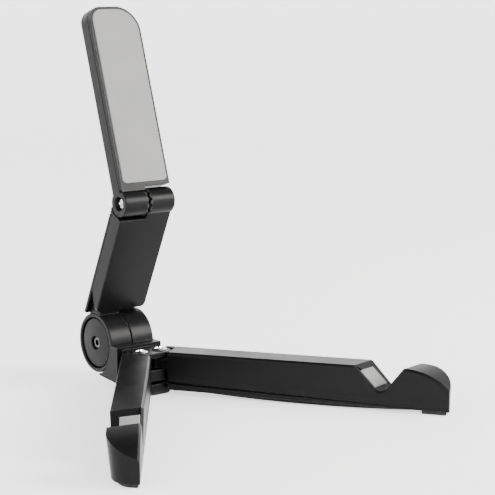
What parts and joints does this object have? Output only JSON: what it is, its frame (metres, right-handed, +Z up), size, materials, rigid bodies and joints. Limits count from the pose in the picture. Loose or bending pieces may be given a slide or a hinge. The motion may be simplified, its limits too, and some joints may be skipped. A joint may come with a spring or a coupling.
{
  "type": "tablet stand",
  "caption": "Fold-up desk stand for a tablet: two swing-out legs with notched hooks, a hub, and a tilting, folding back arm with a soft grey pad.",
  "frame": {"origin": "on the table, in the middle of the flat rubber foot under the hub, midway between the two leg hinge pins", "axes": "+Z up, -Y forward, towards the tablet and the leg tips, +X to the right leg"},
  "size_m": [0.1502, 0.1327, 0.1506],
  "materials": {
    "black_plastic": "satin moulded black plastic",
    "inner_plastic": "plain moulded plastic, not seen",
    "grey_pad": "matt light grey rubber",
    "black_rubber": "matt black rubber",
    "steel": "bright plated screws",
    "brass": "plain turned brass"
  },
  "bodies": {
    "base": {"base_block": "black_plastic", "base_foot": "black_rubber", "right_cap": "black_plastic", "hub_bolt": "steel", "hub_nut": "brass", "hub_spring_washers": "steel", "base_detent_ring": "inner_plastic", "leg_hinge_screws": "steel"},
    "lower_arm": {"lower_arm_shell": "black_plastic", "lower_arm_cover": "black_plastic", "left_cap": "black_plastic", "arm_detent_ring": "inner_plastic", "lower_arm_screws": "steel", "fold_screw": "steel", "fold_nut": "brass", "fold_washer": "steel"},
    "upper_arm": {"upper_arm_shell": "black_plastic", "upper_arm_plate": "black_plastic", "upper_arm_pad": "grey_pad", "upper_arm_screws": "steel"},
    "left_leg": {"left_leg_shell": "black_plastic", "left_leg_cover": "black_plastic", "left_notch_pad": "grey_pad", "left_tip_foot": "black_rubber", "left_leg_screws": "steel"},
    "right_leg": {"right_leg_shell": "black_plastic", "right_leg_cover": "black_plastic", "right_notch_pad": "grey_pad", "right_tip_foot": "black_rubber", "right_leg_screws": "steel"}
  },
  "joints": [
    {"name": "arm_tilt", "type": "hinge", "parent": "base", "child": "lower_arm", "pos_m": [0, 0.0243, 0.0172], "axis": [1, 0, 0], "range_deg": [-45.5, 64.5]},
    {"name": "arm_fold", "type": "hinge", "parent": "lower_arm", "child": "upper_arm", "pos_m": [0, 0.00338, 0.07592], "axis": [1, 0, 0], "range_deg": [-46.5, 43.5]},
    {"name": "left_leg_swing", "type": "hinge", "parent": "base", "child": "left_leg", "pos_m": [-0.0045, 0, 0], "axis": [0, 0, -1], "range_deg": [-36, 9]},
    {"name": "right_leg_swing", "type": "hinge", "parent": "base", "child": "right_leg", "pos_m": [0.0045, 0, 0], "axis": [0, 0, 1], "range_deg": [-36, 9]}
  ]
}
